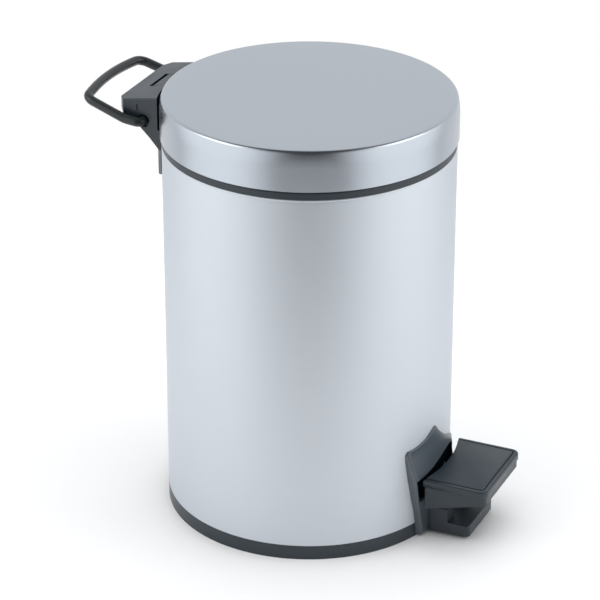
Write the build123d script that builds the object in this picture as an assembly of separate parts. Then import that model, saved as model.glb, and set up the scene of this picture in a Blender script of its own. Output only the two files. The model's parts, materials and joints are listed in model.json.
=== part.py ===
from build123d import *
import math
import os

# Small round pedal trash can: steel bin and lid, plastic base, guard, pedal and hinge block.
# Millimetres, +Z up. The origin is the centre of the flat underside, the pedal points to -Y
# and the lid hinge is at +Y.

# ---- driving dimensions: bin --------------------------------------------------------------
BIN_R = 84.0            # outside radius of the steel bin
WALL = 0.7              # sheet thickness of bin and lid
BASE_RING_TOP = 8.9     # height of the plastic ring seen below the steel
BASE_FLOOR = 2.4        # thickness of the base's floor
BASE_SPIGOT_TOP = 22.0  # top of the base's ring inside the steel
SHELL_TOP = 226.0       # upper end of the steel bin
BEAD_R = 0.8            # rolled bead at the upper end of the steel bin
RIM_TOP = 230.2         # top of the plastic rim ring
SEAT_R = 76.0           # inside radius of the rim ring
SEAT_Z = 222.8          # ledge that carries the bucket

# ---- lid ---------------------------------------------------------------------------------
LID_R = 84.9
LID_TOP = 254.6
LID_BOTTOM = 230.7
LID_FILLET = 3.0
LID_OPEN = 76.0         # degrees
NOTCH_HALF = 11.5       # half width of the opening at the back of the lid's skirt
NOTCH_TOP = 247.3

# ---- hinge at the back --------------------------------------------------------------------
PIN_Y = 92.3
PIN_Z = 244.2
PIN_R = 1.5
KNUCKLE_R = 3.5
TONGUE_HALF = 10.0
BLOCK_HALF = 31.5       # half width over the side faces
BLOCK_FACE_HALF = 26.0  # half width of the outer face, between its chamfers
BLOCK_BACK = 106.2
BLOCK_CHAMFER_Y = 102.2
BLOCK_FRONT_R = 86.6    # the front face follows the lid at this radius
PLATE_HALF = 20.6
PLATE_Y = 84.3
PLATE_T = 1.8
PLATE_BOTTOM = 197.0
PLATE_TOP = 232.0

# ---- carrying handle ----------------------------------------------------------------------
WIRE_R = 2.7
GRIP_PIVOT_Y = 89.5
GRIP_PIVOT_Z = 234.6
GRIP_LEG_X = 35.3       # wire centre beside the block
GRIP_END_X = 24.0       # inner ends of the wire, inside the block

# ---- push rod -----------------------------------------------------------------------------
ROD_Y = 80.6
ROD_R = 1.8
ROD_PLAY = 0.9          # free play between the rod's top and the tongue

# ---- pedal --------------------------------------------------------------------------------
AXLE_Y = -20.0
AXLE_Z = 14.5
AXLE_R = 2.0
TREAD_HALF = 28.6
TREAD_REAR_R = 89.0     # hollow rear edge, round the bin's axis
TREAD_FRONT = -123.6
TREAD_TOP = 39.0
TREAD_PLATE = 35.6      # underside of the tread's plate
TREAD_REAR_LOW = 31.5   # lower edge of the pedal's rear wall, which clears the foot when pressed
LEVER_HALF = 7.0
LEVER_T = 2.0

# ---- bucket -------------------------------------------------------------------------------
BUCKET_FLANGE_R = 75.4
BUCKET_TOP_R = 72.4
BUCKET_FOOT_R = 67.5
BUCKET_BOTTOM = 33.5
BUCKET_WALL = 1.5
FLANGE_T = 2.0
BAIL_Z = 228.2
BAIL_R = 73.6
BAIL_WIRE_R = 1.3
FLOOR_UNDER = 28.5      # underside of the false floor
FLOOR_T = 2.0

# ---- worked out from the above ------------------------------------------------------------
SHELL_IN = BIN_R - WALL
HALF_SWING = math.radians(LID_OPEN / 2)
ROD_ARM = PIN_Y - ROD_Y
ROD_TRAVEL = 2 * ROD_ARM * math.tan(HALF_SWING)
TAB_T = 2.4
TAB_UNDER_Z = PIN_Z - ROD_ARM * math.tan(HALF_SWING) - TAB_T / 2 / math.cos(HALF_SWING)
ROD_TOP = TAB_UNDER_Z - ROD_R * (1 / math.cos(HALF_SWING) - 1) - ROD_PLAY
LEVER_SWING = 2 * math.atan(ROD_TRAVEL / 2 / (ROD_Y - AXLE_Y))
LEVER_REAR_Z = AXLE_Z - ROD_TRAVEL / 2
SHOE_REACH = 4.6        # the shoe's length in front of the rod
SHOE_BOTTOM = LEVER_REAR_Z + LEVER_T / 2 + SHOE_REACH * math.tan(LEVER_SWING / 2) + 0.35


def ring(outer, inner, z0, z1):
    """A tube about the bin's axis."""
    body = Pos(0, 0, z0) * extrude(Circle(outer), z1 - z0)
    return body - Pos(0, 0, z0 - 1) * extrude(Circle(inner), z1 - z0 + 2)


def disc(radius, z0, z1):
    """A round plate about the bin's axis."""
    return Pos(0, 0, z0) * extrude(Circle(radius), z1 - z0)


def block(x0, x1, y0, y1, z0, z1):
    """A box given by its limits."""
    return Pos((x0 + x1) / 2, (y0 + y1) / 2, (z0 + z1) / 2) * Box(x1 - x0, y1 - y0, z1 - z0)


def rod_x(x0, x1, y, z, radius):
    """A round bar along X."""
    return Pos((x0 + x1) / 2, y, z) * Rot(0, 90, 0) * Cylinder(radius, x1 - x0)


def rod_y(x, y0, y1, z, radius):
    """A round bar along Y."""
    return Pos(x, (y0 + y1) / 2, z) * Rot(90, 0, 0) * Cylinder(radius, y1 - y0)


def side_profile(points, half):
    """A plate with its outline in the YZ plane, from -half to +half in X."""
    face = make_face(Polyline(*[(0, y, z) for y, z in points], close=True))
    solid = extrude(face, half, dir=(1, 0, 0), both=True)
    return solid


def front_profile(edge_face, y0, y1):
    """A plate with its outline in the XZ plane, between two Y values."""
    return extrude(Pos(0, y0, 0) * edge_face, y1 - y0, dir=(0, 1, 0))


# ---- fixed pieces -------------------------------------------------------------------------
POSTS = [(sx * 44.0, sy * 40.0) for sx in (-1, 1) for sy in (-1, 1)]
AXLE_CHEEK = (8.2, 13.0)


def make_base():
    """Plastic base: floor, outer ring, spigot inside the steel, posts and axle cheeks."""
    body = disc(BIN_R, 0, BASE_FLOOR)
    body += ring(BIN_R, SHELL_IN - 2.0, 0, BASE_RING_TOP)
    body += ring(SHELL_IN - 0.1, SHELL_IN - 2.0, 0, BASE_SPIGOT_TOP)
    for x, y in POSTS:
        body += Pos(x, y, FLOOR_UNDER / 2) * Cylinder(4.5, FLOOR_UNDER)
        body -= Pos(x, y, FLOOR_UNDER - 5) * Cylinder(1.3, 10)
    for side in (-1, 1):
        near, far = (side * value for value in AXLE_CHEEK)
        cheek = block(min(near, far), max(near, far), AXLE_Y - 5, AXLE_Y + 5, 0, AXLE_Z)
        cheek += rod_x(min(near, far), max(near, far), AXLE_Y, AXLE_Z, 5.0)
        body += cheek
    body -= rod_x(-20, 20, AXLE_Y, AXLE_Z, AXLE_R + 0.02)
    body -= block(-8.5, 8.5, -90, -76, BASE_RING_TOP + 1.1, 40)
    body -= block(-7.5, 7.5, 72, SHELL_IN + 0.2, BASE_FLOOR, BASE_RING_TOP)
    body -= block(-7.5, 7.5, 72, 90, BASE_RING_TOP, 40)
    return body


def make_body_shell():
    """Steel tube with a rolled bead at the top and the holes for lever, guard and hinge."""
    body = ring(BIN_R, SHELL_IN, BASE_RING_TOP, SHELL_TOP - BEAD_R)
    bead = Pos(BIN_R - BEAD_R, 0, SHELL_TOP - BEAD_R) * Rot(90, 0, 0) * Circle(BEAD_R)
    body += revolve(bead, Axis.Z)
    body -= block(-8.5, 8.5, -90, -76, 14.0, 33.5)
    for x, z in GUARD_SCREWS:
        body -= rod_y(x, -90, -70, z, 1.55)
    for x, z in PLATE_RIVETS:
        body -= rod_y(x, 70, 90, z, 1.55)
    return body


def make_rim_ring():
    """Plastic ring on top of the steel: dark band, spigot and the ledge for the bucket."""
    body = ring(BIN_R, SEAT_R, RIM_TOP - 2.0, RIM_TOP)
    body += ring(BIN_R, SHELL_IN - 1.8, SHELL_TOP, RIM_TOP)
    body += ring(SHELL_IN - 1.3, SHELL_IN - 2.6, SHELL_TOP - 8, SHELL_TOP)
    body += ring(SEAT_R + 1.3, SEAT_R, SEAT_Z - 2, RIM_TOP)
    body += ring(SEAT_R + 1.3, SEAT_R - 2.4, SEAT_Z - 2, SEAT_Z)
    body -= Pos(0, ROD_Y, RIM_TOP) * Cylinder(ROD_R + 0.45, 60)
    body -= block(-3.2, 3.2, SEAT_R + 1.5, ROD_Y, SEAT_Z - 12, RIM_TOP - 2.0)
    body = body.fillet(0.7, body.edges().filter_by(GeomType.CIRCLE).filter_by(
        lambda edge: abs(edge.radius - BIN_R) < 0.01 and edge.center().Z > RIM_TOP - 0.1))
    return body


def make_false_floor():
    """Plastic floor over the lever, with gaps for the lever and the push rod."""
    body = disc(SHELL_IN - 3.3, FLOOR_UNDER, FLOOR_UNDER + FLOOR_T)
    body -= block(-9.5, 9.5, -90, -68, 20, 40)
    body -= block(-7.5, 7.5, 70, 90, 20, 40)
    for x, y in POSTS:
        body -= Pos(x, y, FLOOR_UNDER + FLOOR_T / 2) * Cylinder(1.7, FLOOR_T + 2)
    return body


def make_floor_screws():
    """Four pan head screws through the false floor into the base's posts."""
    screws = []
    top = FLOOR_UNDER + FLOOR_T
    for x, y in POSTS:
        screw = Pos(x, y, top - 4.5) * Cylinder(1.25, 9)
        screw += Pos(x, y, top + 0.7) * Cylinder(3.0, 1.4)
        screw -= Pos(x, y, top + 1.3) * Box(1.0, 4.0, 0.6)
        screw -= Pos(x, y, top + 1.3) * Box(4.0, 1.0, 0.6)
        screws.append(screw)
    return Compound(children=screws)


GUARD_IN = BIN_R + 0.06
GUARD_OUT = BIN_R + 2.3
GUARD_BULGE_X = -5.0    # the guard is thicker towards -X: a second cylinder with this centre
GUARD_BULGE_TOP = 40.0  # above this height the bulge fades away
FOOT_BOTTOM = 1.6
GUARD_SCREWS = [(-18.0, 25.5), (18.0, 25.5)]


def guard_outline():
    """The guard's outline seen from the front: a tall wing, a crest and a falling side."""
    crest = (-9.0, 65.6)
    rise = Spline((-34.2, 58.6), (-27.5, 59.0), (-19.5, 60.9), crest)
    fall = Spline(crest, (-5.0, 60.9), (5.0, 53.2), (18.6, 46.4))
    corner = Line((-35.6, 56.6), (-34.2, 58.6))
    left = Polyline((-35.6, 56.6), (-35.4, 52.5), (-33.4, 40.1), (-30.4, 25.5), (-28.6, 18.0),
                    (-27.0, 9.9), (-26.6, FOOT_BOTTOM))
    foot = Line((-26.6, FOOT_BOTTOM), (26.6, FOOT_BOTTOM))
    right = Polyline((26.6, FOOT_BOTTOM), (27.0, 9.9), (28.4, 14.7), (27.5, 26.0), (19.4, 36.0),
                     (18.6, 46.4))
    flat = make_face(corner + rise + fall + left + foot + right)
    return Rot(90, 0, 0) * flat


def guard_hollow():
    """The hollow behind the pedal's rear edge, under the guard's hood, seen from the front."""
    hood = Spline((-31.6, 38.2), (-27.0, 39.0), (-17.0, 40.6), (-5.5, 42.8), (8.0, 44.0), (17.4, 42.6))
    rest = Polyline((17.4, 42.6), (17.9, 36.5), (25.9, 26.0), (26.2, 24.0), (-28.8, 24.0),
                    (-31.6, 38.2))
    return Rot(90, 0, 0) * make_face(hood + rest)


def guard_envelope(grow):
    """Outer surface of the guard as a solid: round, and thicker towards -X low down."""
    radius = GUARD_OUT + grow
    bulge = Pos(GUARD_BULGE_X, 0, 0) * disc(radius, 0, GUARD_BULGE_TOP)
    bulge += Pos(GUARD_BULGE_X, 0, GUARD_BULGE_TOP + 6) * Cone(radius, radius - 2, 12)
    return disc(radius, 0, 80) + bulge


def make_pedal_guard():
    """Plastic shield on the bin's front, open in the middle for the lever."""
    body = front_profile(guard_outline(), -95.0, -60.0)
    body &= guard_envelope(0) - disc(GUARD_IN, -1, 90)
    body -= block(-9.5, 9.5, -95, -60, 0, 34.0)
    hollow = front_profile(guard_hollow(), -95.0, -60.0) - disc(GUARD_IN + 0.9, -1, 90)
    for x, z in GUARD_SCREWS:
        hollow -= rod_y(x, -95, -70, z, 2.8)
        body -= rod_y(x, -83.9, -70, z, 1.3)
    return body - hollow


def make_guard_screws():
    """Two screws from inside the bin that hold the guard."""
    screws = []
    for x, z in GUARD_SCREWS:
        inside = -math.sqrt(SHELL_IN ** 2 - (abs(x) + 2.8) ** 2)
        screw = rod_y(x, -83.8, inside + 1.0, z, 1.25)
        screw += rod_y(x, inside, inside + 1.6, z, 2.7)
        screw -= Pos(x, inside + 1.5, z) * Box(3.6, 0.8, 0.8)
        screw -= Pos(x, inside + 1.5, z) * Box(0.8, 0.8, 3.6)
        screws.append(screw)
    return Compound(children=screws)


FOOT_HALF = 19.5
FOOT_FRONT = -110.4


def make_front_foot():
    """Foot under the pedal that stops the can from tipping, with a channel for the lever."""
    body = block(-FOOT_HALF, FOOT_HALF, FOOT_FRONT, -60, FOOT_BOTTOM, 9.0)
    body = body.fillet(3.0, body.edges().filter_by(Axis.Z).group_by(Axis.Y)[0])
    body = body.fillet(0.8, body.edges().filter_by(Axis.X).group_by(Axis.Y)[0])
    for side in (-1, 1):
        x0, x1 = sorted((side * 9.6, side * FOOT_HALF))
        body += block(x0, x1, -97.0, -70, 8.0, 17.0)
    return body - guard_envelope(0.05)


def make_pedal_axle():
    """Steel axle of the pedal lever."""
    body = rod_x(-16.5, 16.5, AXLE_Y, AXLE_Z, AXLE_R)
    for x in (-15.0, 15.0):
        groove = rod_x(x - 0.45, x + 0.45, AXLE_Y, AXLE_Z, 3)
        groove -= rod_x(x - 0.5, x + 0.5, AXLE_Y, AXLE_Z, 1.5)
        body -= groove
    return body


def make_axle_clips():
    """Two open spring clips in the axle's grooves."""
    clips = []
    for x in (-15.0, 15.0):
        clip = rod_x(x - 0.4, x + 0.4, AXLE_Y, AXLE_Z, 3.8)
        clip -= rod_x(x - 1, x + 1, AXLE_Y, AXLE_Z, 1.53)
        clip -= block(x - 1, x + 1, AXLE_Y - 1.2, AXLE_Y + 1.2, AXLE_Z, AXLE_Z + 6)
        clips.append(clip)
    return Compound(children=clips)


def make_rod_guide(z0):
    """Plastic block on the inside of the steel that guides the push rod."""
    body = block(-6, 6, ROD_Y - 4.2, 90, z0, z0 + 9)
    body &= disc(SHELL_IN - 0.03, z0 - 1, z0 + 10)
    body = body.fillet(1.0, body.edges().filter_by(Axis.Z).group_by(Axis.Y)[0])
    body -= Pos(0, ROD_Y, z0) * Cylinder(ROD_R + 0.08, 40)
    return body


def block_top(y):
    """Height of the hinge block's sloping top."""
    return 246.1 + 0.166 * (BLOCK_CHAMFER_Y - y)


def make_hinge_housing():
    """Plastic hinge block fixed to the bin, with the slot for the lid's tongue."""
    outline = [(74, block_top(74)), (BLOCK_BACK, block_top(BLOCK_BACK)), (BLOCK_BACK, 238.2),
               (91.6, 230.4), (85.6, 224.6), (80.0, 218.2), (74, 218.2)]
    body = side_profile(outline, BLOCK_HALF)
    body &= Pos(0, 0, 200) * extrude(make_face(Polyline(
        (-BLOCK_HALF, 70), (-BLOCK_HALF, BLOCK_CHAMFER_Y), (-BLOCK_FACE_HALF, BLOCK_BACK),
        (BLOCK_FACE_HALF, BLOCK_BACK), (BLOCK_HALF, BLOCK_CHAMFER_Y), (BLOCK_HALF, 70),
        close=True)), 60)
    body -= disc(BIN_R + 0.1, 200, RIM_TOP + 0.1)
    body -= disc(BLOCK_FRONT_R, RIM_TOP, 260)
    soft = body.edges().filter_by(lambda edge: (edge @ 0.5).Y > 88 and (edge @ 0.5).Z > 236)
    body = body.fillet(0.7, soft)
    body -= block(-TONGUE_HALF - 0.5, TONGUE_HALF + 0.5, 70, PIN_Y, 236.6, 260)
    body -= rod_x(-TONGUE_HALF - 0.5, TONGUE_HALF + 0.5, PIN_Y, PIN_Z, KNUCKLE_R + 0.4)
    body -= block(-TONGUE_HALF - 0.5, TONGUE_HALF + 0.5, PIN_Y, PIN_Y + 3.9, PIN_Z + 1.4, 260)
    body -= block(-PLATE_HALF - 0.1, PLATE_HALF + 0.1, 70, PLATE_Y + PLATE_T + 0.05, 190,
                  PLATE_TOP + 0.1)
    body -= rod_x(-29.0, 29.0, PIN_Y, PIN_Z, PIN_R + 0.02)
    for side in (-1, 1):
        x0, x1 = sorted((side * (GRIP_END_X - 0.6), side * (BLOCK_HALF + 1)))
        body -= rod_x(x0, x1, GRIP_PIVOT_Y, GRIP_PIVOT_Z, WIRE_R + 0.08)
        x0, x1 = sorted((side * (BLOCK_HALF - 1.8), side * (BLOCK_HALF + 1)))
        body -= rod_x(x0, x1, GRIP_PIVOT_Y, GRIP_PIVOT_Z, WIRE_R + 1.1)
        x0, x1 = sorted((side * (BLOCK_HALF - 0.6), side * (BLOCK_HALF + 1)))
        body -= block(x0, x1, 92.9, 93.7, 240.4, 244.2)
    return body


PLATE_RIVETS = [(sx * 12.0, z) for sx in (-1, 1) for z in (202.5, 214.0)]


def make_hinge_plate():
    """Flat steel plate that carries the hinge block on the bin."""
    body = block(-PLATE_HALF, PLATE_HALF, PLATE_Y, PLATE_Y + PLATE_T, PLATE_BOTTOM, PLATE_TOP)
    body = body.fillet(2.5, body.edges().filter_by(Axis.Y).group_by(Axis.Z)[0])
    for x, z in PLATE_RIVETS:
        body -= rod_y(x, 80, 90, z, 1.55)
    return body


def make_plate_rivets():
    """Four domed rivets through the plate and the bin, each with a spacer collar."""
    rivets = []
    for x, z in PLATE_RIVETS:
        inside = math.sqrt(SHELL_IN ** 2 - (abs(x) + 2.6) ** 2)
        rivet = rod_y(x, inside - 0.9, PLATE_Y + PLATE_T + 0.4, z, 1.5)
        rivet += rod_y(x, inside - 1.2, inside, z, 2.5)
        dome = Pos(x, PLATE_Y + PLATE_T - 1.6, z) * Sphere(3.3)
        dome &= rod_y(x, PLATE_Y + PLATE_T, PLATE_Y + PLATE_T + 4, z, 4)
        rivets.append(rivet + dome)
    return Compound(children=rivets)


def make_hinge_pin():
    """Steel pin of the lid hinge."""
    return rod_x(-28.8, 28.8, PIN_Y, PIN_Z, PIN_R)


# ---- lid ----------------------------------------------------------------------------------
def make_lid_shell():
    """Steel lid: flat top, rounded edge and skirt, open at the back for the tongue."""
    outer = disc(LID_R, LID_BOTTOM, LID_TOP)
    outer = outer.fillet(LID_FILLET, outer.edges().group_by(Axis.Z)[-1])
    inner = disc(LID_R - WALL, LID_BOTTOM - 1, LID_TOP - WALL)
    inner = inner.fillet(LID_FILLET - WALL, inner.edges().group_by(Axis.Z)[-1])
    body = outer - inner
    body -= block(-NOTCH_HALF, NOTCH_HALF, 70, 90, LID_BOTTOM - 1, NOTCH_TOP)
    return body


LINER_IN = LID_R - WALL - 2.6
BUMPER_ANGLES = [-150, -90, -30]


def make_lid_liner():
    """Plastic ring pressed into the lid's skirt, open at the back."""
    body = ring(LID_R - WALL - 0.05, LID_R - WALL - 1.5, LID_BOTTOM + 0.5, LID_TOP - 4.2)
    body += ring(LID_R - WALL - 0.05, LINER_IN, LID_BOTTOM + 0.5, LID_BOTTOM + 2.5)
    body -= block(-NOTCH_HALF - 2, NOTCH_HALF + 2, 60, 90, 220, 260)
    for angle in BUMPER_ANGLES:
        body -= Rot(0, 0, angle) * Pos(LINER_IN + 1.3, 0, LID_BOTTOM) * Cylinder(0.9, 3.4)
    return body


def make_lid_bumpers():
    """Three soft buffers under the liner that meet the rim ring when the lid closes."""
    bumpers = []
    for angle in BUMPER_ANGLES:
        body = Pos(LINER_IN + 1.3, 0, LID_BOTTOM + 0.85) * Cylinder(0.85, 1.7)
        body += Pos(LINER_IN + 1.3, 0, LID_BOTTOM + 0.1) * Cylinder(1.3, 0.8)
        bumpers.append(Rot(0, 0, angle) * body)
    return Compound(children=bumpers)


STUDS = [(-5.5, 58.0), (5.5, 58.0)]
TONGUE_PLATE_UNDER = LID_TOP - WALL - 2.2


def make_hinge_tongue():
    """Plastic hinge arm of the lid: plate under the top, knuckle on the pin, pad for the rod."""
    along = (-math.cos(HALF_SWING), -math.sin(HALF_SWING))
    below = (-along[1] * TAB_T / 2, along[0] * TAB_T / 2)
    reach = 18.4
    under_pin = (PIN_Y + below[0], PIN_Z + below[1])
    pad_end = (under_pin[0] + along[0] * reach, under_pin[1] + along[1] * reach)
    top = LID_TOP - WALL - 0.1
    outline = [under_pin, pad_end, (76.7, pad_end[1] + 1.4), (76.7, TONGUE_PLATE_UNDER),
               (48.0, TONGUE_PLATE_UNDER), (48.0, top), (79.0, top), (79.0, NOTCH_TOP - 0.3),
               (87.0, NOTCH_TOP - 0.3), (87.0, block_top(87.0) - 0.2),
               (PIN_Y, PIN_Z + KNUCKLE_R)]
    body = side_profile(outline, TONGUE_HALF)
    body += rod_x(-TONGUE_HALF, TONGUE_HALF, PIN_Y, PIN_Z, KNUCKLE_R)
    body -= rod_x(-20, 20, PIN_Y, PIN_Z, PIN_R + 0.05)
    for x, y in STUDS:
        body -= Pos(x, y, top) * Cylinder(1.55, 10)
    for side in (-1, 1):
        x0, x1 = sorted((side * 2.6, side * (TONGUE_HALF - 1.6)))
        body -= block(x0, x1, 78.4, 85.0, 241.5, NOTCH_TOP + 1)
    return body


def make_lid_studs():
    """Two threaded studs welded under the lid's top."""
    studs = []
    for x, y in STUDS:
        studs.append(Pos(x, y, LID_TOP - WALL - 3.3) * Cylinder(1.5, 6.6))
    return Compound(children=studs)


def make_stud_nuts():
    """Hexagon nuts that hold the tongue on the studs."""
    nuts = []
    for x, y in STUDS:
        nut = extrude(RegularPolygon(2.75, 6, major_radius=False), 2.2)
        nut = Pos(x, y, TONGUE_PLATE_UNDER - 2.2) * nut
        nuts.append(nut - Pos(x, y, TONGUE_PLATE_UNDER) * Cylinder(1.52, 12))
    return Compound(children=nuts)


# ---- pedal --------------------------------------------------------------------------------
TREAD_RIVETS = [-99.0, -111.0]


def tread_outline(inset, rear_inset):
    """The tread seen from above, drawn in by one inset at its sides and front and one behind."""
    half = TREAD_HALF - inset
    front = TREAD_FRONT + inset
    face = Pos(0, (front - 70) / 2) * Rectangle(2 * half, -70 - front)
    face -= Circle(TREAD_REAR_R + rear_inset)
    face = fillet(face.vertices().group_by(Axis.Y)[0], max(5.0 - inset, 1.0))
    return fillet(face.vertices().group_by(Axis.Y)[-1], 0.8)


def make_pedal_tread():
    """Plastic pedal: plate with a raised edge, and hollow sides with a sloping lower edge."""
    lip = TREAD_TOP - 4.2
    body = Pos(0, 0, lip) * extrude(tread_outline(0, 0), TREAD_TOP - lip)
    body -= Pos(0, 0, TREAD_TOP - 0.9) * extrude(tread_outline(2.7, -2.0), 2)
    skirt = Pos(0, 0, 16) * extrude(tread_outline(0.7, 0.7), lip - 16)
    skirt -= side_profile([(-70, 10), (-70, 18.2), (-86, 20.2), (-101, 23.4), (-121, 30.0),
                           (-130, 30.0), (-130, 10)], 40)
    body += skirt
    body -= Pos(0, 0, 10) * extrude(tread_outline(2.7, 2.7), TREAD_PLATE - 10)
    body -= block(-TREAD_HALF + 2.7, TREAD_HALF - 2.7, -93.0, -80.0, 10, TREAD_REAR_LOW)
    body -= block(-8.0, 8.0, -93.0, -80.0, 10, TREAD_PLATE)
    for y in TREAD_RIVETS:
        body -= Pos(0, y, TREAD_PLATE) * Cylinder(1.55, 2.4)
    return body


def make_tread_pad():
    """Raised pad let into the pedal's top, with a narrow groove at its sides and front."""
    pad = Pos(0, 0, TREAD_TOP - 0.9) * extrude(tread_outline(3.2, 0.1), 1.1)
    return pad.fillet(0.3, pad.edges().group_by(Axis.Z)[-1])


def make_pedal_lever():
    """Bent steel strip from the push rod over the axle to the underside of the tread."""
    flat_z = TREAD_PLATE - LEVER_T / 2
    knee = (-91.5, flat_z)
    path = Polyline((ROD_Y + 2.0, LEVER_REAR_Z - 0.2), (AXLE_Y, AXLE_Z), (-78.0, 27.2),
                    (-85.5, 29.8), knee, (-118.0, flat_z))
    strip = Plane.YZ * trace(path, LEVER_T)
    body = extrude(strip, LEVER_HALF, dir=(1, 0, 0), both=True)
    body += rod_x(-LEVER_HALF, LEVER_HALF, AXLE_Y, AXLE_Z, AXLE_R + 1.8)
    body -= rod_x(-20, 20, AXLE_Y, AXLE_Z, AXLE_R + 0.05)
    for y in TREAD_RIVETS:
        body -= Pos(0, y, flat_z) * Cylinder(1.55, 6)
    return body


def make_lever_rivets():
    """Two rivets that hold the tread on the lever."""
    rivets = []
    low = TREAD_PLATE - LEVER_T
    for y in TREAD_RIVETS:
        rivet = Pos(0, y, low + 1.4) * Cylinder(1.5, 3.4)
        rivet += Pos(0, y, low - 0.6) * Cylinder(2.9, 1.2)
        rivets.append(rivet)
    return Compound(children=rivets)


# ---- push rod -----------------------------------------------------------------------------
def make_push_rod():
    """Straight steel rod with a round top."""
    low = SHOE_BOTTOM + 2.0
    body = Pos(0, ROD_Y, (low + ROD_TOP - ROD_R) / 2) * Cylinder(ROD_R, ROD_TOP - ROD_R - low)
    return body + Pos(0, ROD_Y, ROD_TOP - ROD_R) * Sphere(ROD_R)


def make_rod_shoe():
    """Plastic shoe on the rod's lower end, which stands on the lever."""
    body = block(-4.2, 4.2, ROD_Y - SHOE_REACH, ROD_Y + 2.0, SHOE_BOTTOM, SHOE_BOTTOM + 7)
    body = body.fillet(1.0, body.edges().filter_by(Axis.Z))
    return body - Pos(0, ROD_Y, SHOE_BOTTOM + 7) * Cylinder(ROD_R + 0.02, 10)


# ---- carrying handle ----------------------------------------------------------------------
def make_carry_handle():
    """Bent wire: two ends in the block, two legs and a bowed grip."""
    right = [(GRIP_END_X, GRIP_PIVOT_Y, GRIP_PIVOT_Z), (GRIP_LEG_X, GRIP_PIVOT_Y, GRIP_PIVOT_Z),
             (GRIP_LEG_X, 99.5, 235.6), (33.0, 124.6, 243.8), (12.0, 128.2, 244.9)]
    left = [(-x, y, z) for x, y, z in reversed(right)]
    bent = FilletPolyline(*right, *left, radius=3.4)
    section = Plane(origin=bent @ 0, z_dir=bent % 0) * Circle(WIRE_R)
    return sweep(section, path=bent)


# ---- bucket -------------------------------------------------------------------------------
def make_inner_bucket():
    """Removable plastic bucket with a flange and two lugs for its bail."""
    top = SEAT_Z + 0.1
    outer = loft([Pos(0, 0, BUCKET_BOTTOM) * Circle(BUCKET_FOOT_R),
                  Pos(0, 0, top) * Circle(BUCKET_TOP_R)])
    inner = loft([Pos(0, 0, BUCKET_BOTTOM + 2) * Circle(BUCKET_FOOT_R - BUCKET_WALL),
                  Pos(0, 0, top + FLANGE_T) * Circle(BUCKET_TOP_R - BUCKET_WALL)])
    body = outer + disc(BUCKET_FLANGE_R, top, top + FLANGE_T)
    for side in (-1, 1):
        x0, x1 = sorted((side * 69.0, side * 71.6))
        lug = block(x0, x1, -4, 4, top, BAIL_Z)
        lug += rod_x(x0, x1, 0, BAIL_Z, 4.0) & block(-80, 80, -4, 4, BAIL_Z, BAIL_Z + 3)
        body += lug
    body -= inner
    for side in (-1, 1):
        x0, x1 = sorted((side * 60, side * 80))
        body -= rod_x(x0, x1, 0, BAIL_Z, BAIL_WIRE_R + 0.08)
    return body


def make_bucket_bail():
    """Wire bail of the bucket, lying on the flange."""
    half_ring = Pos(0, 0, BAIL_Z) * ThreePointArc((BAIL_R, 0), (0, -BAIL_R), (-BAIL_R, 0))
    section = Plane(origin=half_ring @ 0, z_dir=half_ring % 0) * Circle(BAIL_WIRE_R)
    body = sweep(section, path=half_ring)
    for side in (-1, 1):
        x0, x1 = sorted((side * 68.6, side * (BAIL_R + BAIL_WIRE_R)))
        body += rod_x(x0, x1, 0, BAIL_Z, BAIL_WIRE_R)
    return body


def make_bail_grip():
    """Plastic sleeve on the middle of the bail."""
    reach = math.radians(16)
    end = (BAIL_R * math.sin(reach), -BAIL_R * math.cos(reach))
    path = Pos(0, 0, BAIL_Z) * ThreePointArc(end, (0, -BAIL_R), (-end[0], end[1]))
    plane = Plane(origin=path @ 0, z_dir=path % 0)
    body = sweep(plane * Circle(2.2), path=path)
    return body - sweep(plane * Circle(BAIL_WIRE_R + 0.03), path=path)


PARTS = {
    "base": make_base,
    "body_shell": make_body_shell,
    "rim_ring": make_rim_ring,
    "false_floor": make_false_floor,
    "floor_screws": make_floor_screws,
    "pedal_guard": make_pedal_guard,
    "guard_screws": make_guard_screws,
    "front_foot": make_front_foot,
    "pedal_axle": make_pedal_axle,
    "axle_clips": make_axle_clips,
    "rod_guide_lower": lambda: make_rod_guide(56.0),
    "rod_guide_upper": lambda: make_rod_guide(186.0),
    "hinge_housing": make_hinge_housing,
    "hinge_plate": make_hinge_plate,
    "plate_rivets": make_plate_rivets,
    "hinge_pin": make_hinge_pin,
    "lid_shell": make_lid_shell,
    "lid_liner": make_lid_liner,
    "lid_bumpers": make_lid_bumpers,
    "hinge_tongue": make_hinge_tongue,
    "lid_studs": make_lid_studs,
    "stud_nuts": make_stud_nuts,
    "pedal_tread": make_pedal_tread,
    "tread_pad": make_tread_pad,
    "pedal_lever": make_pedal_lever,
    "lever_rivets": make_lever_rivets,
    "push_rod": make_push_rod,
    "rod_shoe": make_rod_shoe,
    "carry_handle": make_carry_handle,
    "inner_bucket": make_inner_bucket,
    "bucket_bail": make_bucket_bail,
    "bail_grip": make_bail_grip,
}

os.makedirs("parts", exist_ok=True)
for node, make in PARTS.items():
    export_step(make(), f"parts/{node}.step")
print(f"rod travel {ROD_TRAVEL:.3f} mm, lever swing {math.degrees(LEVER_SWING):.3f} degrees")
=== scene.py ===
"""Pedal trash can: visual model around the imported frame. Metres, +Z up, pedal towards -Y."""
import json
import math

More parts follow.
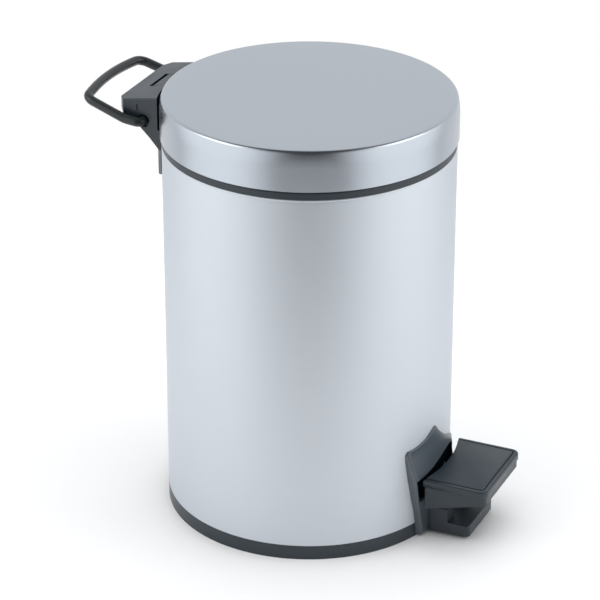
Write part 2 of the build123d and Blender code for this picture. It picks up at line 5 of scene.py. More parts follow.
import bmesh
import bpy
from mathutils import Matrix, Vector


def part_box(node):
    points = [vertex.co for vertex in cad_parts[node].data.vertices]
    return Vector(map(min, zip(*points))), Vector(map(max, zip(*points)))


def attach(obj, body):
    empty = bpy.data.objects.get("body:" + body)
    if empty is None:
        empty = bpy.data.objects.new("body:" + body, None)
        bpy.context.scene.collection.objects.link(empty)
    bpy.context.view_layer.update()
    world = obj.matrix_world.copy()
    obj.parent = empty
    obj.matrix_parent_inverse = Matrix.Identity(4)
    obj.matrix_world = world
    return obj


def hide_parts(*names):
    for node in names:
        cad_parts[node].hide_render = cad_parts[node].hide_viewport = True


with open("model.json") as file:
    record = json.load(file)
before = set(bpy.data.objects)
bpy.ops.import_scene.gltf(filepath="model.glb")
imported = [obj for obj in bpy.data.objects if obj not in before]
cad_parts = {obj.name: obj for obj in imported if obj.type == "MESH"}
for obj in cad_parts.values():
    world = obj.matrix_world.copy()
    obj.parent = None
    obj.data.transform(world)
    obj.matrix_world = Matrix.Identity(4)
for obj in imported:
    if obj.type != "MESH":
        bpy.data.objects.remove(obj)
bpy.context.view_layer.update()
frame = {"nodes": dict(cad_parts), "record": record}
nodes = frame["nodes"]
MM = 0.001
ROUND = 288                     # segments round the can


# ---- sizes taken from the frame -----------------------------------------------------------
shell_low, shell_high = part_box("body_shell")
lid_low, lid_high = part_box("lid_shell")
tread_low, tread_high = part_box("pedal_tread")
BIN_R = shell_high.x
LID_R = lid_high.x
WALL = 0.7 * MM                 # thickness of the steel sheet
BEAD = 0.8 * MM                 # radius of the rolled upper edge of the bin


# ---- mesh helpers -------------------------------------------------------------------------
def new_object(name, vertices, faces):
    """A mesh object in the scene, with its faces turned outwards."""
    mesh = bpy.data.meshes.new(name)
    mesh.from_pydata(vertices, [], faces)
    mesh.validate()
    piece = bpy.data.objects.new(name, mesh)
    bpy.context.scene.collection.objects.link(piece)
    bm = bmesh.new()
    bm.from_mesh(mesh)
    bmesh.ops.recalc_face_normals(bm, faces=bm.faces)
    bm.to_mesh(mesh)
    bm.free()
    return piece


def shade(piece, angle=32.0):
    """Smooth shading, with edges sharper than the angle kept crisp."""
    bm = bmesh.new()
    bm.from_mesh(piece.data)
    limit = math.radians(angle)
    for face in bm.faces:
        face.smooth = True
    for edge in bm.edges:
        if len(edge.link_faces) == 2:
            edge.smooth = edge.calc_face_angle(0.0) < limit
    bm.to_mesh(piece.data)
    bm.free()
    return piece


def arc(cx, cz, radius, start, end, steps):
    """Points of an arc in a plane, angles in degrees."""
    points = []
    for i in range(steps + 1):
        angle = math.radians(start + (end - start) * i / steps)
        points.append((cx + radius * math.cos(angle), cz + radius * math.sin(angle)))
    return points


def lathe(name, profile):
    """A closed profile of (radius, height) turned about the Z axis."""
    vertices = []
    faces = []
    count = len(profile)
    for s in range(ROUND):
        angle = 2 * math.pi * s / ROUND
        for radius, z in profile:
            vertices.append((radius * math.cos(angle), radius * math.sin(angle), z))
    for s in range(ROUND):
        a = s * count
        b = ((s + 1) % ROUND) * count
        for i in range(count):
            j = (i + 1) % count
            faces.append((a + i, b + i, b + j, a + j))
    return new_object(name, vertices, faces)


def loops_to_mesh(name, loops):
    """Joins loops of equal length into a skin, with flat caps at the ends."""
    count = len(loops[0])
    vertices = [point for loop in loops for point in loop]
    faces = []
    for a in range(len(loops) - 1):
        b = a + 1
        for i in range(count):
            j = (i + 1) % count
            faces.append((a * count + i, a * count + j, b * count + j, b * count + i))
    faces.append(tuple(range(count - 1, -1, -1)))
    start = (len(loops) - 1) * count
    faces.append(tuple(range(start, start + count)))
    return new_object(name, vertices, faces)


def apply_modifiers(piece):
    """Puts a piece's mesh as its modifiers leave it in place of its own."""
    graph = bpy.context.evaluated_depsgraph_get()
    graph.update()
    mesh = bpy.data.meshes.new_from_object(piece.evaluated_get(graph))
    piece.modifiers.clear()
    piece.data = mesh
    return piece


def cut(piece, low, high):
    """Takes the box between two corners out of a piece."""
    size = [high[i] - low[i] for i in range(3)]
    middle = [(high[i] + low[i]) / 2 for i in range(3)]
    corners = [(x, y, z) for x in (-0.5, 0.5) for y in (-0.5, 0.5) for z in (-0.5, 0.5)]
    points = [tuple(middle[i] + corner[i] * size[i] for i in range(3)) for corner in corners]
    quads = [(0, 1, 3, 2), (4, 6, 7, 5), (0, 4, 5, 1), (2, 3, 7, 6), (0, 2, 6, 4), (1, 5, 7, 3)]
    return cut_with(piece, new_object("cutter", points, quads))


def cut_with(piece, cutter):
    """Takes a cutter's volume out of a piece, and removes the cutter."""
    boolean = piece.modifiers.new("cut", "BOOLEAN")
    boolean.operation = "DIFFERENCE"
    boolean.solver = "EXACT"
    boolean.object = cutter
    apply_modifiers(piece)
    bpy.data.objects.remove(cutter)
    return piece


def finish_piece(piece, body, slot, material, *replaced):
    """Gives a piece its material and its body, and hides the CAD nodes that it stands for. The slot is
    not used.
    """
    piece.data.materials.clear()
    piece.data.materials.append(material)
    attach(piece, body)
    if replaced:
        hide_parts(*replaced)
    return piece


# ---- materials ----------------------------------------------------------------------------
def maths(tree, operation, first, second):
    """One step of arithmetic in a node graph, on sockets or plain numbers."""
    node = tree.nodes.new("ShaderNodeMath")
    node.operation = operation
    for socket, value in zip(node.inputs, (first, second)):
        if isinstance(value, (int, float)):
            socket.default_value = value
        else:
            tree.links.new(value, socket)
    return node.outputs[0]


class Shader:
    """A Principled material with a few helpers for procedural detail."""

    def __init__(self, name, colour, metallic, roughness):
        self.material = bpy.data.materials.new(name)
        self.material.use_nodes = True
        self.tree = self.material.node_tree
        self.main = self.tree.nodes["Principled BSDF"]
        self.main.inputs["Base Color"].default_value = (*colour, 1.0)
        self.main.inputs["Metallic"].default_value = metallic
        self.main.inputs["Roughness"].default_value = roughness
        self.place = self.tree.nodes.new("ShaderNodeTexCoord").outputs["Object"]

    def link(self, source, target):
        self.tree.links.new(source, target)

    def stretched(self, scale):
        """The place on the piece, stretched by a scale along each axis."""
        mapping = self.tree.nodes.new("ShaderNodeMapping")
        mapping.inputs["Scale"].default_value = scale
        self.link(self.place, mapping.inputs["Vector"])
        return mapping.outputs["Vector"]

    def noise(self, vector, scale, detail=2.0, rough=0.5):
        node = self.tree.nodes.new("ShaderNodeTexNoise")
        node.inputs["Scale"].default_value = scale
        node.inputs["Detail"].default_value = detail
        node.inputs["Roughness"].default_value = rough
        self.link(vector, node.inputs["Vector"])
        return node.outputs["Fac"]

    def span(self, value, low, high):
        """Maps 0.3..0.7 of a noise onto low..high."""
        node = self.tree.nodes.new("ShaderNodeMapRange")
        node.inputs["From Min"].default_value = 0.3
        node.inputs["From Max"].default_value = 0.7
        node.inputs["To Min"].default_value = low
        node.inputs["To Max"].default_value = high
        self.link(value, node.inputs["Value"])
        return node.outputs["Result"]

    def vary_colour(self, value, dark, light):
        node = self.tree.nodes.new("ShaderNodeMix")
        node.data_type = "RGBA"
        node.inputs["A"].default_value = (*dark, 1.0)
        node.inputs["B"].default_value = (*light, 1.0)
        self.link(value, node.inputs["Factor"])
        self.link(node.outputs["Result"], self.main.inputs["Base Color"])

    def vary_roughness(self, value, low, high):
        self.link(self.span(value, low, high), self.main.inputs["Roughness"])

    def bump(self, value, distance):
        node = self.tree.nodes.new("ShaderNodeBump")
        node.inputs["Distance"].default_value = distance
        node.inputs["Strength"].default_value = 1.0
        self.link(value, node.inputs["Height"])
        self.link(node.outputs["Normal"], self.main.inputs["Normal"])


def satin_sheet(name, colour, grain, roughness, lines_depth):
    """Satin stainless sheet with a fine grain: the grain is a scale along each axis."""
    shader = Shader(name, colour, 1.0, roughness)
    lines = shader.noise(shader.stretched(grain), 1.0, 3.0, 0.6)
    cloud = shader.noise(shader.place, 9.0, 2.0)
    shader.vary_roughness(lines, roughness - 0.02, roughness + 0.02)
    shader.vary_colour(cloud, tuple(c * 0.985 for c in colour), tuple(c * 1.015 for c in colour))
    shader.bump(lines, lines_depth * MM)
    return shader.material


def plated_metal(name, colour, roughness):
    """Plated or drawn steel: small cloudy changes and fine drawing marks."""
    shader = Shader(name, colour, 1.0, roughness)
    cloud = shader.noise(shader.place, 140.0, 4.0)
    shader.vary_roughness(cloud, roughness - 0.06, roughness + 0.08)
    shader.vary_colour(cloud, tuple(c * 0.90 for c in colour), tuple(min(c * 1.06, 1.0) for c in colour))
    shader.bump(shader.noise(shader.place, 900.0, 2.0), 0.01 * MM)
    return shader.material


def moulded_plastic(name, colour, roughness, grain=2600.0, depth=0.02, gloss=0.5):
    """Dark moulded plastic with a fine even grain and slightly worn gloss."""
    shader = Shader(name, colour, 0.0, roughness)
    shader.main.inputs["Specular IOR Level"].default_value = gloss
    cloud = shader.noise(shader.place, 45.0, 3.0)
    shader.vary_roughness(cloud, roughness - 0.05, roughness + 0.06)
    shader.vary_colour(cloud, tuple(c * 0.93 for c in colour), tuple(c * 1.07 for c in colour))
    shader.bump(shader.noise(shader.place, grain, 2.0), depth * MM)
    return shader.material


SATIN_WALL = satin_sheet("satin_wall", (0.63, 0.665, 0.705), (12.0, 12.0, 2600.0), 0.55, 0.0004)
SATIN_LID = satin_sheet("satin_lid", (0.49, 0.525, 0.570), (14.0, 2600.0, 2600.0), 0.24, 0.0003)
PLATED = plated_metal("plated_steel", (0.66, 0.67, 0.68), 0.28)
TAIL_STEEL = plated_metal("tail_steel", (0.17, 0.18, 0.19), 0.36)
WIRE = plated_metal("steel_wire", (0.60, 0.61, 0.61), 0.22)
COATED = moulded_plastic("coated_wire", (0.013, 0.017, 0.018), 0.33, 500.0, 0.01)
SLATE = moulded_plastic("slate_plastic", (0.018, 0.028, 0.037), 0.36)
SLATE_BLOCK = moulded_plastic("slate_block", (0.010, 0.019, 0.027), 0.34, gloss=0.6)
SLATE_PAD = moulded_plastic("slate_pad", (0.028, 0.039, 0.050), 0.46, 1700.0, 0.02)
INNER = moulded_plastic("inner_plastic", (0.040, 0.044, 0.048), 0.50)
BUCKET = moulded_plastic("bucket_plastic", (0.034, 0.038, 0.042), 0.38, 1200.0, 0.03)
RUBBER = moulded_plastic("buffer_rubber", (0.020, 0.020, 0.021), 0.75)

NODE_MATERIAL = {
    "satin_steel": SATIN_WALL,
    "plated_steel": PLATED,
    "steel_wire": WIRE,
    "coated_wire": COATED,
    "dark_plastic": SLATE,
    "inner_plastic": INNER,
    "bucket_plastic": BUCKET,
    "buffer_rubber": RUBBER,
}
NODE_FINISH = {
    "hinge_plate": TAIL_STEEL,
    "hinge_housing": SLATE_BLOCK,
}


def dress_cad_nodes():
    """Every CAD node gets the material of its slot, or a finish of its own."""
    for part in frame["record"]["subparts"]:
        piece = nodes[part["node"]]
        piece.data.materials.clear()
        plain = NODE_MATERIAL[part["material_slot"]]
        piece.data.materials.append(NODE_FINISH.get(part["node"], plain))


# ---- bin, rim and base --------------------------------------------------------------------
def make_bin_wall():
    """Bin of one sheet with a rolled upper edge and a slot for the lever."""
    low = shell_low.z
    top = shell_high.z
    inner = BIN_R - WALL
    bead = arc(BIN_R - BEAD, top - BEAD, BEAD, -60, 180, 14)
    profile = [(inner, low), (BIN_R, low), (BIN_R, top - 4.0 * BEAD)] + bead
    profile += [(inner - 0.9 * MM, top - 2 * BEAD), (inner, top - 3 * BEAD)]
    piece = lathe("bin_wall", profile)
    cut(piece, (-8.5 * MM, -90 * MM, 14 * MM), (8.5 * MM, -76 * MM, 33.5 * MM))
    shade(piece)
    return finish_piece(piece, "body", "satin_steel", SATIN_WALL, "body_shell")


def lid_profile():
    """Outside of the lid from the skirt's lower edge to its flat top: a tight edge that eases out."""
    low = lid_low.z
    top = lid_high.z
    edge = 2.29 * MM
    lean = 0.75 * MM
    join = top - 1.85 * MM
    ease = 8.15 * MM
    points = [(LID_R - 0.25 * MM, low), (LID_R, low + 0.25 * MM)]
    for i in range(13):
        t = i / 12
        points.append((LID_R - lean * t ** 2, join - ease * (1 - t)))
    return points + arc(LID_R - lean - 2.25 * MM, top - edge, edge, 14, 90, 10)


def make_lid_cover():
    """Lid of one sheet: a flat top and a skirt, notched at the back for the hinge."""
    low = lid_low.z
    top = lid_high.z
    edge = 3.0 * MM
    inner = LID_R - WALL - 0.75 * MM
    inside = arc(inner - edge + WALL, top - edge, edge - WALL, 90, 0, 8)
    rings = [(r, top) for r in (72 * MM, 50 * MM, 20 * MM, 0.4 * MM)]
    under = [(r, top - WALL) for r in (0.4 * MM, 20 * MM, 50 * MM, 72 * MM)]
    profile = lid_profile() + rings + under + inside + [(inner, low + 10 * MM), (LID_R - WALL, low)]
    piece = lathe("lid_cover", profile)
    half = 11.5 * MM
    cut(piece, (-half, 70 * MM, low - 1 * MM), (half, 90 * MM, 247.3 * MM))
    shade(piece)
    return finish_piece(piece, "lid", "satin_steel", SATIN_LID, "lid_shell")


# ---- guard --------------------------------------------------------------------------------
def curve_through(points, steps):
    """A smooth curve through points with x as its parameter, as (x, z) samples."""
    samples = []
    count = len(points)
    for k in range(count - 1):
        x0, z0 = points[k]
        x1, z1 = points[k + 1]
        before = points[max(k - 1, 0)]
        after = points[min(k + 2, count - 1)]
        m0 = (z1 - before[1]) / (x1 - before[0])
        m1 = (after[1] - z0) / (after[0] - x0)
        for i in range(steps):
            t = i / steps
            dx = x1 - x0
            value = ((2 * t**3 - 3 * t**2 + 1) * z0 + (t**3 - 2 * t**2 + t) * dx * m0
                     + (-2 * t**3 + 3 * t**2) * z1 + (t**3 - t**2) * dx * m1)
            samples.append((x0 + t * dx, value))
    samples.append(points[-1])
    return samples


def on_line(points, x):
    """The height of a row of (x, z) points at x."""
    for (x0, z0), (x1, z1) in zip(points, points[1:]):
        if x0 <= x <= x1:
            return z0 + (z1 - z0) * (x - x0) / max(x1 - x0, 1e-9)
    return points[0][1] if x < points[0][0] else points[-1][1]


GUARD_OUT = 86.3
GUARD_THIN = 84.95      # radius of the face along the upper edge
BULGE_X = -5.0
FLARE_TOP = 56.5
FLARE_LOW = 40.0
GUARD_LOW = 1.6
GUARD_BACK = 84.06      # radius of the side that lies against the bin
HOLLOW_FLOOR = 84.95    # radius of the thin wall left behind the hollow
PAINTED_SHADE_TOP = 46.0       # the painted shade in the hollow lies between these heights
PAINTED_SHADE_BOTTOM = 23.5
PAINTED_SHADE_SLANT = 0.186    # lean of the painted shade's left border, across per height
PAINTED_SHADE_LEFT = -25.2     # that border carried down to the floor
EDGE_ROUND = 0.45       # radius of the guard's rounded edges
EDGE_BAND = 4.0         # width of the finely divided band along each edge
ACROSS_STEPS = 36
UP_STEPS = 39
EDGE_STEPS = [0.0, 0.03, 0.1, 0.2, 0.32, 0.5, 0.75, 1.1, 1.5, 1.9, 2.2, 2.45, 2.65, 2.9, 3.3]


def guard_radius(x, z):
    """Distance of the guard's face from the can's axis: flared, most to the left and low down."""
    y = math.sqrt(GUARD_OUT ** 2 - (x - BULGE_X) ** 2)
    swollen = math.hypot(x, y)
    blend = max(0.0, 0.5 - abs(swollen - GUARD_OUT)) ** 2 / 2.0
    full = max(GUARD_OUT, swollen) + blend
    rise = min(1.0, max(0.0, (FLARE_TOP - z) / (FLARE_TOP - FLARE_LOW)))
    return GUARD_THIN + (full - GUARD_THIN) * rise ** 1.5


def rounded_drop(distance):
    """How far a rounded edge lies behind the face at a distance from the edge."""
    if distance >= EDGE_ROUND:
        return 0.0
    return EDGE_ROUND - math.sqrt(max(0.0, EDGE_ROUND ** 2 - (EDGE_ROUND - distance) ** 2))


def edge_lip(distance, z):
    """Raised lip with a fine groove inside it, along the left edge of the guard."""
    fade = min(1.0, max(0.0, (z - 24.0) / 12.0))
    lip = 0.50 * math.exp(-((distance - 0.95) / 0.70) ** 2)
    groove = 0.55 * math.exp(-((distance - 2.45) / 0.34) ** 2)
    return fade * (lip - groove)


def guard_plastic_painted_sheen_and_shade():
    """The guard's plastic: satin outside, in a colour lighter than the pedal's same plastic as painted
    sheen, with painted shade (near-black colour, no gloss) down in the hollow behind the pedal.
    """
    # Lighter than the slate of the pedal, which is the same plastic: painted sheen for the light the
    # guard's face catches.
    colour = (0.052, 0.070, 0.086)
    shader = Shader("guard_plastic_painted_sheen_and_shade", colour, 0.0, 0.30)
    parts = shader.tree.nodes.new("ShaderNodeSeparateXYZ")
    shader.link(shader.place, parts.inputs[0])
    radius = shader.tree.nodes.new("ShaderNodeVectorMath")
    radius.operation = "LENGTH"
    shader.link(shader.stretched((1.0, 1.0, 0.0)), radius.inputs[0])
    # This mask is 1 on the face of the guard and 0 in the hollow, where shade is painted.
    outside_painted_shade = maths(shader.tree, "GREATER_THAN", radius.outputs["Value"], (HOLLOW_FLOOR + 0.5) * MM)
    above = maths(shader.tree, "GREATER_THAN", parts.outputs["Z"], PAINTED_SHADE_TOP * MM)
    below = maths(shader.tree, "LESS_THAN", parts.outputs["Z"], PAINTED_SHADE_BOTTOM * MM)
    slant = maths(shader.tree, "MULTIPLY", parts.outputs["Z"], PAINTED_SHADE_SLANT)
    across = maths(shader.tree, "ADD", parts.outputs["X"], slant)
    beside = maths(shader.tree, "LESS_THAN", across, PAINTED_SHADE_LEFT * MM)
    outside_painted_shade = maths(shader.tree, "MAXIMUM", outside_painted_shade, above)
    outside_painted_shade = maths(shader.tree, "MAXIMUM", outside_painted_shade, below)
    outside_painted_shade = maths(shader.tree, "MAXIMUM", outside_painted_shade, beside)
    # Painted shade: near-black colour in the hollow, the guard's plain colour elsewhere.
    shader.vary_colour(outside_painted_shade, (0.003, 0.004, 0.005), colour)
    # No gloss in the hollow, as part of the painted shade.
    gloss = maths(shader.tree, "MULTIPLY", outside_painted_shade, 0.9)
    shader.link(gloss, shader.main.inputs["Specular IOR Level"])
    return shader.material


def hollow_cutter():
    """What the hollow behind the pedal's rear edge takes out of the guard."""
    hood = curve_through([(-31.6, 38.2), (-27.0, 39.0), (-17.0, 40.6), (-5.5, 42.8), (8.0, 44.0),
                          (17.4, 42.6)], 6)
    top = hood + [(17.9, 36.5), (25.9, 26.0), (26.2, 24.2)]
    bottom = [(-31.6, 38.0), (-28.8, 24.0), (26.2, 24.0)]
    columns = sorted({x for x, _ in top} | {x for x, _ in bottom})
    loops = []
    for x in columns:
        floor_y = -math.sqrt(HOLLOW_FLOOR ** 2 - x ** 2)
        low = on_line(bottom, x)
        high = on_line(top, x)
        section = [(x, -95.0, low), (x, -95.0, high), (x, floor_y, high), (x, floor_y, low)]
        loops.append([tuple(c * MM for c in point) for point in section])
    return loops_to_mesh("hollow", loops)


def make_guard_shield():
    """Shield that hugs the bin: a wing, a crest and a falling side, open for the lever."""
    rise = curve_through([(-34.2, 58.6), (-27.5, 59.0), (-19.5, 60.9), (-9.0, 65.6)], 6)
    fall = curve_through([(-9.0, 65.6), (-5.0, 60.9), (5.0, 53.2), (18.6, 46.4)], 6)
    top = [(-35.6, 56.6)] + rise + fall[1:] + [(30.0, 43.0)]
    left = [(GUARD_LOW, -26.6), (9.9, -27.0), (18.0, -28.6), (25.5, -30.4), (40.1, -33.4),
            (52.5, -35.4), (56.6, -35.6), (70.0, -35.6)]
    right = [(GUARD_LOW, 26.6), (9.9, 27.0), (14.7, 28.4), (26.0, 27.5), (36.0, 19.4),
             (46.4, 18.6), (70.0, 18.6)]
    span = [("left", t) for t in EDGE_STEPS]
    span += [("middle", i / ACROSS_STEPS) for i in range(ACROSS_STEPS + 1)]
    span += [("right", t) for t in reversed(EDGE_STEPS)]

    def across(kind, t, z):
        """Place across the guard of a column: a step in from an edge, or a share of the middle."""
        low_x = on_line(left, z)
        high_x = on_line(right, z)
        if kind == "left":
            return low_x + t
        if kind == "right":
            return high_x - t
        return low_x + EDGE_BAND + t * (high_x - low_x - 2 * EDGE_BAND)

    rows = len(EDGE_STEPS) * 2 + UP_STEPS + 1
    front = []
    back = []
    for kind, t in span:
        crown = 60.0            # closes in on the height where the column meets the upper edge
        for _ in range(30):
            crown = 0.5 * crown + 0.5 * on_line(top, across(kind, t, crown))
        heights = [GUARD_LOW + d for d in EDGE_STEPS]
        inside = crown - GUARD_LOW - 2 * EDGE_BAND
        heights += [GUARD_LOW + EDGE_BAND + inside * i / UP_STEPS for i in range(UP_STEPS + 1)]
        heights += [crown - d for d in reversed(EDGE_STEPS)]
        for z in heights:
            x = across(kind, t, z)
            side = min(x - on_line(left, z), on_line(right, z) - x)
            slope = (on_line(top, x + 0.3) - on_line(top, x - 0.3)) / 0.6
            above = (crown - z) / math.sqrt(1.0 + slope ** 2)
            edge = min(side, above, z - GUARD_LOW)
            r = guard_radius(x, z) - rounded_drop(edge) + edge_lip(x - on_line(left, z), z)
            front.append((x * MM, -math.sqrt(r ** 2 - x ** 2) * MM, z * MM))
            back.append((x * MM, -math.sqrt(GUARD_BACK ** 2 - x ** 2) * MM, z * MM))
    columns = len(span)
    total = len(front)
    faces = []
    for i in range(columns - 1):
        for k in range(rows - 1):
            a = i * rows + k
            b = a + rows
            faces.append((a, b, b + 1, a + 1))
            faces.append((total + a, total + a + 1, total + b + 1, total + b))
    for k in range(rows - 1):
        faces.append((k, k + 1, total + k + 1, total + k))
        last = (columns - 1) * rows + k
        faces.append((last, total + last, total + last + 1, last + 1))
    for i in range(columns - 1):
        a = i * rows
        b = a + rows
        faces.append((a, total + a, total + b, b))
        faces.append((a + rows - 1, b + rows - 1, total + b + rows - 1, total + a + rows - 1))
    piece = new_object("guard_shield", front + back, faces)
    cut(piece, (-9.5 * MM, -95 * MM, -1 * MM), (9.5 * MM, -60 * MM, 34 * MM))
    cut_with(piece, hollow_cutter())
    shade(piece, 40.0)
    return finish_piece(piece, "body", "dark_plastic", guard_plastic_painted_sheen_and_shade(), "pedal_guard")


# ---- pedal --------------------------------------------------------------------------------
TREAD_HALF = tread_high.x
TREAD_FRONT = tread_low.y
TREAD_TOP = tread_high.z
REAR_R = 89.0 * MM              # radius of the hollow rear edge, round the can's axis
REAR_STEPS = 24


def tread_loop(inset, height, rear_inset=None, rear_height=None):
    """The tread's outline drawn in by an inset; a height is a number or a function of y."""
    half = TREAD_HALF - inset
    front = TREAD_FRONT + inset
    corner = max(5.0 * MM - inset, 1.2 * MM)
    rear_r = REAR_R + (inset if rear_inset is None else rear_inset)
    rise = height if callable(height) else (lambda y: height)
    side_angle = math.degrees(math.asin((half - 0.7 * MM) / rear_r))
    horn = -math.sqrt(rear_r ** 2 - half ** 2) - 0.7 * MM
    sides = arc(-half + corner, front + corner, corner, 180, 270, 8)
    sides += arc(half - corner, front + corner, corner, 270, 360, 8) + [(half, horn)]
    rear = arc(0, 0, rear_r, 270 + side_angle, 270 - side_angle, REAR_STEPS)
    points = [(x, y, rise(y)) for x, y in sides]
    points += [(x, y, rise(y) if rear_height is None else rear_height) for x, y in rear]
    return points + [(-half, horn, rise(horn))]


def skirt_edge(y):
    """Lower edge of the pedal's sides: low at the bin, rising to the front."""
    line = [(-130.0, 30.0), (-121.0, 30.0), (-101.0, 23.4), (-86.0, 20.2), (-70.0, 18.2)]
    return on_line(line, y / MM) * MM


def make_pedal_body():
    """Tread with deep sides, a rounded edge and a pocket for the pad."""
    lip = TREAD_TOP - 4.2 * MM
    plate = 35.6 * MM
    groove = TREAD_TOP - 0.9 * MM
    low_rear = 31.5 * MM
    loops = [tread_loop(2.7 * MM, plate), tread_loop(2.7 * MM, skirt_edge, None, low_rear)]
    loops += [tread_loop(0.7 * MM, skirt_edge, None, low_rear), tread_loop(0.7 * MM, lip)]
    loops += [tread_loop(0.15 * MM, lip), tread_loop(0.0, lip + 0.2 * MM)]
    for step in range(5):
        angle = math.radians(90 * step / 4)
        height = TREAD_TOP - 0.9 * MM * (1 - math.sin(angle))
        loops.append(tread_loop(0.9 * MM * (1 - math.cos(angle)), height, 0.0, groove))
    loops += [tread_loop(2.5 * MM, TREAD_TOP, 0.1 * MM, groove)]
    loops += [tread_loop(2.7 * MM, TREAD_TOP - 0.2 * MM, 0.2 * MM, groove)]
    loops += [tread_loop(2.7 * MM, groove, 0.3 * MM, groove)]
    piece = loops_to_mesh("pedal_body", loops)
    cut(piece, (-8 * MM, -93 * MM, 10 * MM), (8 * MM, -80 * MM, plate))
    shade(piece, 50.0)
    return finish_piece(piece, "pedal", "dark_plastic", SLATE, "pedal_tread")


def make_pedal_pad():
    """Flat pad that lies in the tread's pocket."""
    low = TREAD_TOP - 0.88 * MM
    top = TREAD_TOP + 0.2 * MM
    loops = [tread_loop(3.3 * MM, low, 0.0), tread_loop(3.3 * MM, top - 0.35 * MM, 0.0)]
    loops += [tread_loop(3.4 * MM, top - 0.12 * MM, 0.08 * MM), tread_loop(3.65 * MM, top, 0.3 * MM)]
    piece = loops_to_mesh("pedal_pad", loops)
    shade(piece, 60.0)
    return finish_piece(piece, "pedal", "dark_plastic", SLATE_PAD, "tread_pad")


# ---- carrying handle ----------------------------------------------------------------------
def rounded_path(points, radius, steps=8):
    """A path with each inner corner turned into an arc."""
    path = [Vector(points[0])]
    for k in range(1, len(points) - 1):
        before, here, after = (Vector(points[i]) for i in (k - 1, k, k + 1))
        u = (before - here).normalized()
        v = (after - here).normalized()
        half = u.angle(v) / 2
        r = radius[k - 1]
        reach = r / math.tan(half)
        centre = here + (u + v).normalized() * (r / math.sin(half))
        a = here + u * reach - centre
        b = here + v * reach - centre
        turn = a.angle(b)
        for i in range(steps + 1):
            t = i / steps
            mix = (a * math.sin((1 - t) * turn) + b * math.sin(t * turn)) / math.sin(turn)
            path.append(centre + mix)
    path.append(Vector(points[-1]))
    return path


def tube(name, path, radius, sides=20):
    """A round bar along a path, with closed ends."""
    loops = []
    normal = None
    for k, point in enumerate(path):
        ahead = path[min(k + 1, len(path) - 1)] - path[max(k - 1, 0)]
        ahead.normalize()
        if normal is None:
            normal = ahead.orthogonal().normalized()
        normal = (normal - ahead * normal.dot(ahead)).normalized()
        other = ahead.cross(normal)
        loop = []
        for s in range(sides):
            angle = 2 * math.pi * s / sides
            loop.append(tuple(point + radius * (normal * math.cos(angle) + other * math.sin(angle))))
        loops.append(loop)
    return loops_to_mesh(name, loops)


def make_wire_handle():
    """Carrying handle of bent round wire, its ends in the hinge block."""
    points = [(24.0, 89.5, 234.6), (35.3, 89.5, 234.6), (35.3, 99.5, 235.6), (33.4, 124.8, 243.7)]
    bow = [(24.0, 126.2), (16.0, 127.2), (8.0, 127.8), (0.0, 128.0)]
    half = points + [(x, y, 244.8 + 0.32 * (y - 128.0)) for x, y in bow]
    full = half + [(-x, y, z) for x, y, z in reversed(half[:-1])]
    radius = [3.3, 12.0, 6.5, 20.0, 60.0, 60.0, 60.0, 60.0, 60.0, 20.0, 6.5, 12.0, 3.3]
    scaled = [tuple(c * MM for c in point) for point in full]
    path = rounded_path(scaled, [r * MM for r in radius])
    piece = tube("wire_handle", path, 2.7 * MM)
    shade(piece, 50.0)
    return finish_piece(piece, "carry_handle", "coated_wire", COATED, "carry_handle")


# ---- studio -------------------------------------------------------------------------------
CAMERA_AZIMUTH = math.radians(-65.7)
CAMERA_ELEVATION = math.radians(25.98)
CAMERA_DISTANCE = 1.6545
CAMERA_LENS = 170.3


def camera_axes():
    """Unit vectors to the camera and to the right of the picture."""
    a, e = CAMERA_AZIMUTH, CAMERA_ELEVATION
    back = Vector((math.sin(a) * math.cos(e), -math.cos(a) * math.cos(e), math.sin(e)))
    right = Vector((math.cos(a), math.sin(a), 0))
    return back, right


def make_camera():
    """Long lens above the pedal's left, looking at the middle of the can."""
    back, right = camera_axes()
    aim = right * (-5.44 * MM) + Vector((0, 0, 125.2 * MM))
    camera = bpy.data.objects.new("camera", bpy.data.cameras.new("camera"))
    camera.data.lens = CAMERA_LENS
    camera.data.sensor_width = 36.0
    camera.location = aim + back * CAMERA_DISTANCE
    camera.rotation_euler = back.to_track_quat("Z", "Y").to_euler()
    bpy.context.scene.collection.objects.link(camera)
    bpy.context.scene.camera = camera


def soft_light(name, direction, distance, size, power):
    """A square area light that looks at the middle of the can."""
    light = bpy.data.objects.new(name, bpy.data.lights.new(name, "AREA"))
    light.data.size = size
    light.data.energy = power
    light.location = Vector((0, 0, 0.12)) + direction.normalized() * distance
    light.rotation_euler = direction.to_track_quat("Z", "Y").to_euler()
    bpy.context.scene.collection.objects.link(light)
    return light


def make_floor():
    """Pale round floor under the can."""
    radius = 0.50
    points = [(x, y, 0.0) for x, y in arc(0, 0, radius, 0, 357.5, 143)]
    floor = new_object("floor", points, [tuple(range(len(points)))])
    shader = Shader("pale_floor", (0.90, 0.90, 0.90), 0.0, 0.9)
    floor.data.materials.append(shader.material)


class WorldGraph:
    """Small helpers for the world's node graph."""

    def __init__(self, tree):
        self.tree = tree

    def along(self, direction, axis):
        node = self.tree.nodes.new("ShaderNodeVectorMath")
        node.operation = "DOT_PRODUCT"
        node.inputs[1].default_value = axis
        self.tree.links.new(direction, node.inputs[0])
        return node.outputs["Value"]

    def smooth(self, value, start, end, level):
        """Rises smoothly from 0 to level as the value goes from start to end."""
        node = self.tree.nodes.new("ShaderNodeMapRange")
        node.interpolation_type = "SMOOTHSTEP"
        node.inputs["From Min"].default_value = start
        node.inputs["From Max"].default_value = end
        node.inputs["To Max"].default_value = level
        self.tree.links.new(value, node.inputs["Value"])
        return node.outputs["Result"]


SIDE_LEVEL = 1.30       # the studio's bright walls, a little in front of the can on both sides
BACK_LEVEL = 0.80       # the wall behind the can
LOW_LEVEL = 0.33        # below the horizon
DARK_LEVEL = 0.07       # ceiling and the wall round the camera
LOBE_SIDE = 0.966       # direction of a bright side wall: to the side, and to the front
LOBE_FRONT = 0.259


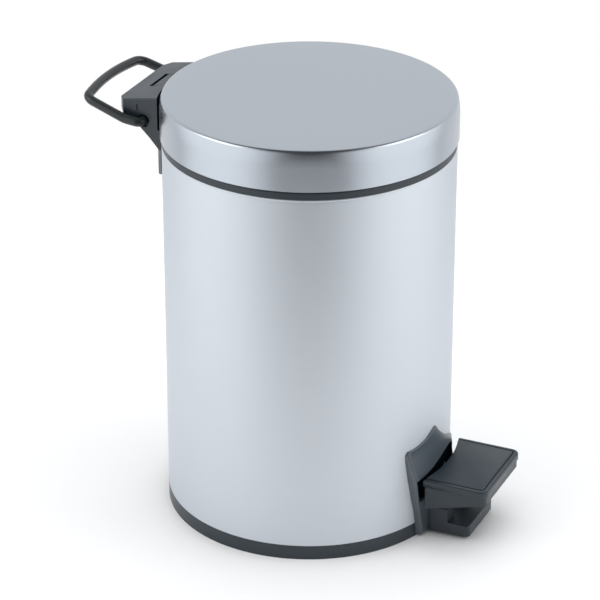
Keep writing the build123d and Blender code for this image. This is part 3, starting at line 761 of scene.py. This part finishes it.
def make_world():
    """White to the camera; as light and in reflections, a studio with bright side walls."""
    world = bpy.data.worlds.new("studio")
    bpy.context.scene.world = world
    world.use_nodes = True
    tree = world.node_tree
    tree.nodes.clear()
    graph = WorldGraph(tree)
    direction = tree.nodes.new("ShaderNodeTexCoord").outputs["Generated"]
    back, right = camera_axes()
    flat = Vector((back.x, back.y, 0)).normalized()
    lobes = []
    for sign in (-1, 1):
        axis = (right * (sign * LOBE_SIDE) + flat * LOBE_FRONT).normalized()
        lobes.append(graph.smooth(graph.along(direction, axis), 0.42, 0.97, SIDE_LEVEL))
    behind = graph.smooth(graph.along(direction, -flat), 0.0, 0.6, BACK_LEVEL)
    below = graph.smooth(graph.along(direction, (0, 0, -1)), 0.0, 0.3, LOW_LEVEL)
    level = maths(tree, "MAXIMUM", lobes[0], lobes[1])
    level = maths(tree, "MAXIMUM", level, behind)
    level = maths(tree, "MAXIMUM", level, below)
    level = maths(tree, "ADD", level, DARK_LEVEL)
    studio = tree.nodes.new("ShaderNodeBackground")
    studio.inputs["Color"].default_value = (0.985, 1.0, 1.02, 1.0)
    tree.links.new(level, studio.inputs["Strength"])
    plain = tree.nodes.new("ShaderNodeBackground")
    plain.inputs["Color"].default_value = (1.0, 1.0, 1.0, 1.0)
    seen = tree.nodes.new("ShaderNodeLightPath").outputs["Is Camera Ray"]
    mix = tree.nodes.new("ShaderNodeMixShader")
    output = tree.nodes.new("ShaderNodeOutputWorld")
    tree.links.new(seen, mix.inputs["Fac"])
    tree.links.new(studio.outputs[0], mix.inputs[1])
    tree.links.new(plain.outputs[0], mix.inputs[2])
    tree.links.new(mix.outputs[0], output.inputs["Surface"])


def make_lights():
    """Two soft lights beside the can and a wide one above, unseen in reflections."""
    back, right = camera_axes()
    up = Vector((0, 0, 1))
    flat = Vector((back.x, back.y, 0)).normalized()
    soft_light("key_left", flat * 0.25 - right + up * 0.75, 1.5, 0.9, 3.6)
    soft_light("key_right", flat * 0.2 + right + up * 0.7, 1.5, 0.9, 3.4)
    overhead = soft_light("top", up, 1.6, 1.8, 24.0)
    overhead.visible_glossy = False


dress_cad_nodes()
make_bin_wall()
make_lid_cover()
make_guard_shield()
make_pedal_body()
make_pedal_pad()
make_wire_handle()
make_floor()
make_world()
make_lights()
make_camera()
bpy.context.scene.view_settings.view_transform = "Standard"
